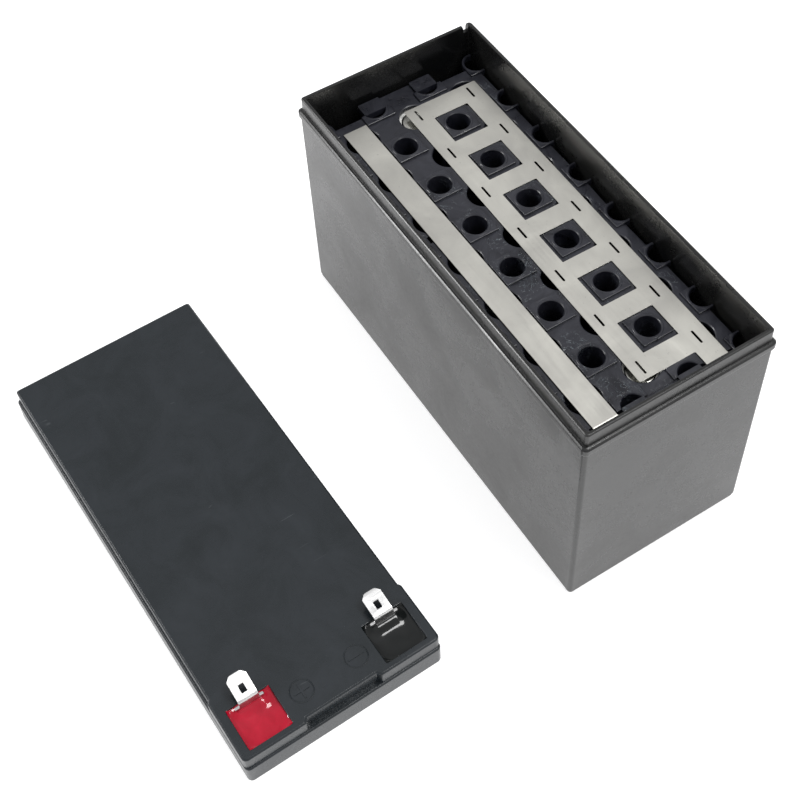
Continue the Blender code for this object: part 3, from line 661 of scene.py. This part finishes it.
def plain_mesh():
    """Plain strip with rolled edges and its last millimetre bent down."""
    half = 4.1 * MM
    edge = 0.07 * MM
    thick = STRIP_THICKNESS
    section = [(-half + edge, 0.0), (half - edge, 0.0), (half, edge), (half, thick - edge),
               (half - edge, thick), (-half + edge, thick), (-half, thick - edge), (-half, edge)]
    stations = [(-63.2, 0.0), (66.9, 0.0), (67.25, -0.03), (67.6, -0.12), (68.4, -0.35)]
    bm = bmesh.new()
    loops = [[bm.verts.new((x * MM, y, z * MM + height)) for y, height in section] for x, z in stations]
    for first, second in zip(loops, loops[1:]):
        for i in range(len(section)):
            j = (i + 1) % len(section)
            bm.faces.new((first[i], first[j], second[j], second[i]))
    bm.faces.new(loops[0])
    bm.faces.new(loops[-1])
    return finished(bm, "plain_strip", 25.0)


def build_strips(material):
    ladder = ladder_mesh()
    plain = plain_mesh()
    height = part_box("ladder_strip_top")[0].z
    place = Matrix.Translation((*LADDER_OFFSET, height)) @ Matrix.Rotation(LADDER_YAW, 4, "Z")
    piece("ladder_top", ladder, "ladder_strip", material, ["ladder_strip_top"], place)
    low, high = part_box("plain_strip_top")
    place = Matrix.Translation((0.0, (low.y + high.y) / 2, high.z - STRIP_THICKNESS))
    piece("plain_top", plain, "plain_strip", material, ["plain_strip_top"], place)
    turned_over = Matrix.Rotation(math.pi, 4, "X")
    place = Matrix.Translation((0.0, 0.0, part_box("ladder_strip_bottom")[1].z)) @ turned_over
    piece("ladder_bottom", ladder, "pack", material, ["ladder_strip_bottom"], place)
    low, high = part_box("plain_strip_bottom")
    place = Matrix.Translation((0.0, (low.y + high.y) / 2, low.z + STRIP_THICKNESS)) @ turned_over
    piece("plain_bottom", plain, "pack", material, ["plain_strip_bottom"], place)


# ---------------------------------------------------------------- lid

def band_outline(inset):
    """The set-in upper band, wider at the terminal blocks, with a gap between them; halves mirror in Y."""
    back, front = BAND_BACK + inset, BAND_FRONT - inset
    side, block = BAND_HALF_WIDTH - inset, BLOCK_HALF_WIDTH - inset
    block_front, gap = BLOCK_FRONT - inset, GAP_HALF_WIDTH + inset
    lower = [(back, -side), (BLOCK_BACK - BLOCK_EASE, -side), (BLOCK_BACK, -block), (block_front, -block),
             (block_front, -gap), (front, -gap + BLOCK_EASE)]
    upper = [(x, -y) for x, y in reversed(lower)]
    radii = [0.9 * MM, 0.4 * MM, 0.4 * MM, 1.6 * MM, 0.4 * MM, 0.4 * MM]
    return rounded(lower + upper, radii + list(reversed(radii)), 5)


def well_outline(side, grow):
    half_x, half_y = WELL_HALF[0] + grow, WELL_HALF[1] + grow
    y = side * WELL_Y
    return rounded(rectangle(WELL_X - half_x, WELL_X + half_x, y - half_y, y + half_y), WELL_CORNER, 4)


def stem_slot(side):
    y = side * WELL_Y
    return rectangle(TAB_X - 0.7 * MM, TAB_X + 0.7 * MM, y - 3.3 * MM, y + 3.3 * MM)


def mark_bars(x, y, plus):
    """The bar of the minus mark, or the two bars of the plus mark."""
    z0, z1 = LID_HEIGHT - MARK_ROOT, LID_HEIGHT + MARK_RISE
    long, short = MARK_BAR
    bars = [rectangle(x - short, x + short, y - long, y + long)]
    if plus:
        bars.append(rectangle(x - long, x + long, y - short, y + short))
    return [(bar, z0, z1) for bar in bars]


def mark_ring(x, y):
    """The raised ring round a polarity mark."""
    profile = [(3.28, -0.3), (3.67, -0.3), (3.67, 0.04), (3.53, 0.22), (3.42, 0.22), (3.28, 0.04)]
    mesh = turned("mark_ring", [(r * MM, z * MM) for r, z in profile], True, 48)
    mesh.transform(Matrix.Translation((x, y, LID_HEIGHT)))
    return mesh


def skirt_outline(inset):
    return box_outline(LID_HALF[0] - inset, LID_HALF[1] - inset, LID_RADIUS - inset)


def build_lid(material):
    """The lid in its own frame. Points are (inset, height) in millimetres.

    Heights of the skirt count from the floor, and those of the band and the wells from the lid's top.
    """
    top = LID_HEIGHT
    profile = [(0.35, 0.0), (0.1, 0.1), (0.0, 0.35), (0.0, 7.74), (0.05, 7.84), (0.43, 8.14), (0.55, 8.2)]
    skirt = [(skirt_outline(inset * MM), z * MM) for inset, z in profile]
    foot = [(band_outline(0.0), 4.0 * MM)]
    curve = [(0.0, -0.46), (0.04, -0.36), (0.44, -0.05), (0.54, 0.0)]
    band = foot + [(band_outline(inset * MM), top + z * MM) for inset, z in curve]
    room_half = BAND_HALF_WIDTH - BAND_WALL
    room = rectangle(BAND_BACK + BAND_WALL, BAND_FRONT - BAND_WALL, -room_half, room_half)
    sides = (-1, 1)
    flare = [(0.0, -0.3), (0.08, -0.12), (0.25, 0.0), (0.25, 1.0)]
    wells = []
    for side in sides:
        mouth = [(well_outline(side, grow * MM), top + z * MM) for grow, z in flare]
        wells.append([(well_outline(side, 0.0), WELL_FLOOR)] + mouth)
    cups = [(well_outline(side, CUP_WALL), 8.4 * MM, top - MM) for side in sides]
    tools = [
        ("UNION", lofts("lid_band", [band])),
        ("DIFFERENCE", prisms("lid_mouth", [(skirt_outline(SKIRT_WALL), -MM, 5.3 * MM)])),
        ("DIFFERENCE", prisms("lid_room", [(room, 2.0 * MM, top - LID_TOP_THICKNESS)])),
        ("UNION", prisms("lid_cups", cups)),
        ("DIFFERENCE", lofts("lid_wells", wells)),
        ("DIFFERENCE", prisms("lid_slots", [(stem_slot(side), 7.0 * MM, top) for side in sides])),
        ("UNION", mark_ring(*PLUS_PLACE)),
        ("UNION", mark_ring(*MINUS_PLACE)),
    ]
    for index, bar in enumerate(mark_bars(*PLUS_PLACE, True) + mark_bars(*MINUS_PLACE, False)):
        tools.append(("UNION", prisms(f"mark_{index}", [bar])))
    mesh = carved("lid", lofts("lid_skirt", [skirt]), tools)
    piece("lid_body", mesh, "lid", material, ["lid_shell"], LID_MATRIX)


def build_potting(side, name, material, node):
    """Resin that climbs the well's corners and mounds round the tab, and sags in between."""
    clear = 0.02 * MM
    half_x, half_y = WELL_HALF[0] - clear, WELL_HALF[1] - clear
    middle_y = side * WELL_Y
    count = 44
    base = LID_HEIGHT - 1.35 * MM
    film_rise, film_reach = 0.2, 0.6 * MM
    corner_rise, corner_reach = 1.45, 1.5 * MM
    mound_rise, mound_reach = 1.5, 2.8 * MM
    ripple_rise, ripple_scale = 0.03, 260.0
    bm = bmesh.new()
    grid = []
    for i in range(count + 1):
        row = []
        for j in range(count + 1):
            u = math.sin((i / count - 0.5) * math.pi)
            v = math.sin((j / count - 0.5) * math.pi)
            x, y = WELL_X + u * half_x, middle_y + v * half_y
            wall_x, wall_y = half_x - abs(u) * half_x, half_y - abs(v) * half_y
            wall = max(0.0, min(wall_x, wall_y))
            tab_dx = max(0.0, abs(x - TAB_X) - TAB_THICKNESS / 2)
            tab_dy = max(0.0, abs(y - middle_y) - STEM_HALF)
            tab = math.hypot(tab_dx, tab_dy)
            rise = film_rise * math.exp(-wall / film_reach)
            rise += corner_rise * math.exp(-(wall_x + wall_y) / corner_reach)
            rise = max(rise, mound_rise * math.exp(-((tab / mound_reach) ** 2)))
            ripple = noise.noise(Vector((x * ripple_scale, y * ripple_scale, side * 3.0)))
            row.append(bm.verts.new((x, y, base + (rise + ripple * ripple_rise) * MM)))
        grid.append(row)
    for i in range(count):
        for j in range(count):
            bm.faces.new((grid[i][j], grid[i + 1][j], grid[i + 1][j + 1], grid[i][j + 1]))
    edge = [e for e in bm.edges if e.is_boundary]
    skirt = bmesh.ops.extrude_edge_only(bm, edges=edge)
    for vert in (g for g in skirt["geom"] if isinstance(g, bmesh.types.BMVert)):
        vert.co.z = WELL_FLOOR + clear
    bmesh.ops.holes_fill(bm, edges=[e for e in bm.edges if e.is_boundary], sides=0)
    solid = finished(bm, name, 60.0)
    slot_tool = prisms("potting_slot", [(stem_slot(side), WELL_FLOOR - MM, WELL_FLOOR + 2.2 * MM)])
    mesh = carved(name, solid, [("DIFFERENCE", slot_tool)])
    piece(name, mesh, "lid", material, [node], LID_MATRIX)


def tab_path(lean):
    """Stations (point, direction, half width) from the foot to the tip, as the sheet is bent."""
    up = Vector((0.0, 0.0, 1.0))
    levels = [(4.6, 1.6), (7.5, 1.6), (7.95, 3.0), (13.55, 3.0), (13.75, 4.5), (13.85, 4.65),
              (14.55, 4.65), (14.72, 4.5), (14.85, 3.3), (15.0, 3.175)]
    path = [(Vector((TAB_X, 0.0, z * MM)), up, half * MM) for z, half in levels]
    turn = math.pi / 2 - lean
    back = BEND_RADIUS * math.tan(turn / 2)
    centre = Vector((TAB_X - BEND_RADIUS, 0.0, BEND_HEIGHT - back))
    steps = 10
    for step in range(steps + 1):
        angle = turn * step / steps
        outward = Vector((math.cos(angle), 0.0, math.sin(angle)))
        along = Vector((-math.sin(angle), 0.0, math.cos(angle)))
        path.append((centre + outward * BEND_RADIUS, along, BLADE_HALF))
    last, along, half = path[-1]
    straight = BLADE_LENGTH - back
    for before_tip, narrower in ((1.4, 0.0), (0.25, 1.15), (0.0, 1.6)):
        path.append((last + along * (straight - before_tip * MM), along, half - narrower * MM))
    return path


def build_tab(side, lean, name, material, node):
    """One terminal: the bent sheet, swept along its path, with a flared hole through the blade."""
    path = tab_path(lean)
    y = side * WELL_Y
    half_thick = TAB_THICKNESS / 2
    edge = 0.12 * MM
    tip_edge = 0.14 * MM
    bm = bmesh.new()
    loops = []
    for index, (point, along, half) in enumerate(path):
        normal = Vector((along.z, 0.0, -along.x))
        slim = half_thick - (tip_edge if index == len(path) - 1 else 0.0)
        section = [(slim, -half + edge), (slim, half - edge), (slim - edge, half), (-slim + edge, half),
                   (-slim, half - edge), (-slim, -half + edge), (-slim + edge, -half), (slim - edge, -half)]
        loop = []
        for out, across in section:
            loop.append(bm.verts.new(point + normal * out + Vector((0.0, y + across, 0.0))))
        loops.append(loop)
    for first, second in zip(loops, loops[1:]):
        for i in range(len(first)):
            j = (i + 1) % len(first)
            bm.faces.new((first[i], first[j], second[j], second[i]))
    bm.faces.new(loops[0])
    bm.faces.new(loops[-1])
    sheet = finished(bm, name, 40.0)
    hole = rounded(rectangle(-1.25 * MM, 1.25 * MM, -0.85 * MM, 0.85 * MM), 0.15 * MM, 3)
    wide = rounded(rectangle(-1.4 * MM, 1.4 * MM, -1.0 * MM, 1.0 * MM), 0.2 * MM, 3)
    throat = half_thick - edge
    rings = [(wide, -MM), (wide, -half_thick), (hole, -throat), (hole, throat), (wide, half_thick), (wide, MM)]
    punch = lofts("tab_hole", [rings])
    along = path[-1][1]
    place = Matrix.Translation(Vector((TAB_X, y, BEND_HEIGHT)) + along * HOLE_AT)
    punch.transform(place @ Matrix.Rotation(lean, 4, "Y"))
    mesh = carved(name, sheet, [("DIFFERENCE", punch)])
    piece(name, mesh, "lid", material, [node], LID_MATRIX)


# ---------------------------------------------------------------- stage, light and camera

def build_stage():
    paint = Paint("floor_white", (0.86, 0.86, 0.86), 0.7)
    paint.shader.inputs["Specular IOR Level"].default_value = 0.1
    paint.shader.inputs["Emission Color"].default_value = (1.0, 1.0, 1.0, 1.0)
    paint.shader.inputs["Emission Strength"].default_value = 0.43
    bm = bmesh.new()
    half = 3.0
    corners = [bm.verts.new((x, y, -0.05 * MM)) for x, y in rectangle(-half, half, -half, half)]
    bm.faces.new(corners)
    mesh = bpy.data.meshes.new("floor")
    bm.to_mesh(mesh)
    bm.free()
    mesh.materials.append(paint.material)
    floor = bpy.data.objects.new("floor", mesh)
    bpy.context.scene.collection.objects.link(floor)


def add_area(name, place, aim, size, power):
    light = bpy.data.lights.new(name, "AREA")
    light.shape = "RECTANGLE"
    light.size, light.size_y = size
    light.energy = power
    item = bpy.data.objects.new(name, light)
    bpy.context.scene.collection.objects.link(item)
    item.location = place
    item.rotation_euler = (Vector(aim) - Vector(place)).to_track_quat("-Z", "Y").to_euler()


def build_light():
    world = bpy.data.worlds.new("studio")
    bpy.context.scene.world = world
    world.use_nodes = True
    tree = world.node_tree
    back = tree.nodes["Background"]
    place = tree.nodes.new("ShaderNodeTexCoord")
    split = tree.nodes.new("ShaderNodeSeparateXYZ")
    ramp = tree.nodes.new("ShaderNodeValToRGB")
    tree.links.new(place.outputs["Generated"], split.inputs[0])
    tree.links.new(split.outputs["Z"], ramp.inputs[0])
    stops = ramp.color_ramp.elements
    stops[0].position, stops[0].color = 0.0, (1.1, 1.1, 1.08, 1.0)
    stops[1].position, stops[1].color = 1.0, (0.95, 0.96, 0.98, 1.0)
    for position, value in ((0.3, 0.95), (0.66, 0.62), (0.84, 0.64), (0.93, 0.85)):
        stop = stops.new(position)
        stop.color = (value, value, value * 1.01, 1.0)
    tree.links.new(ramp.outputs[0], back.inputs[0])
    back.inputs[1].default_value = 1.0
    add_area("glint", (0.25, 0.29, 1.12), (0.0, -0.08, 0.0), (0.3, 0.3), 6.0)
    add_area("end_edges", (0.74, 0.36, 0.99), (0.0, -0.05, 0.0), (0.25, 0.25), 2.0)
    add_area("side_edges", (-0.83, -1.08, 0.93), (0.0, -0.05, 0.0), (0.3, 0.3), 10.0)


def build_camera():
    """Camera by its focal length, optical centre, place and two axes."""
    camera = bpy.data.cameras.new("camera")
    camera.sensor_width = 36.0
    camera.lens = 66.93
    camera.shift_x = -0.03395
    camera.shift_y = -0.0948
    camera.clip_start = 0.01
    forward = Vector((-0.5214, 0.3088, -0.7955)).normalized()
    up = Vector((-0.6632, 0.4400, 0.6055))
    right = forward.cross(up).normalized()
    up = right.cross(forward)
    item = bpy.data.objects.new("camera", camera)
    bpy.context.scene.collection.objects.link(item)
    turn = Matrix((right, up, -forward)).transposed().to_4x4()
    item.matrix_world = Matrix.Translation((231.1 * MM, -170.1 * MM, 405.9 * MM)) @ turn
    bpy.context.scene.camera = item


def main():
    bpy.context.scene.view_settings.view_transform = "Standard"
    along_strip = (60.0, 2400.0, 2400.0)
    across_tab = (1800.0, 200.0, 1800.0)
    along_cell = (900.0, 900.0, 60.0)
    tab_metal = sheet_metal("tinned_tab", (0.86, 0.86, 0.85), (0.52, 0.52, 0.52), 0.30, across_tab, 500.0)
    materials = {
        "nickel": sheet_metal("nickel", (0.69, 0.68, 0.625), (0.56, 0.55, 0.51), 0.38, along_strip),
        "cell_steel": sheet_metal("cell_steel", (0.66, 0.65, 0.60), (0.50, 0.50, 0.47), 0.30, along_cell),
        "gasket": soft_part("gasket", (0.05, 0.05, 0.05), (0.03, 0.03, 0.03), 0.5),
        "washer_paper": soft_part("washer_paper", (0.82, 0.82, 0.80), (0.66, 0.66, 0.63), 0.6),
        "electrode_roll": soft_part("electrode_roll", (0.07, 0.07, 0.075), (0.035, 0.035, 0.04), 0.6),
        "cell_sleeve": soft_part("cell_sleeve", (0.016, 0.018, 0.024), (0.009, 0.010, 0.014), 0.35),
    }
    build_camera()
    build_stage()
    build_light()
    build_case(case_plastic())
    build_holders(holder_plastic())
    build_cells(materials)
    build_strips(materials["nickel"])
    build_lid(lid_plastic())
    red = resin("red_resin", (0.33, 0.003, 0.017), (0.42, 0.007, 0.026))
    black = resin("black_resin", (0.004, 0.005, 0.005), (0.008, 0.009, 0.009))
    build_potting(-1, "resin_positive", red, "positive_potting")
    build_potting(1, "resin_negative", black, "negative_potting")
    build_tab(-1, POSITIVE_LEAN, "tab_positive", tab_metal, "positive_terminal")
    build_tab(1, NEGATIVE_LEAN, "tab_negative", tab_metal, "negative_terminal")


main()
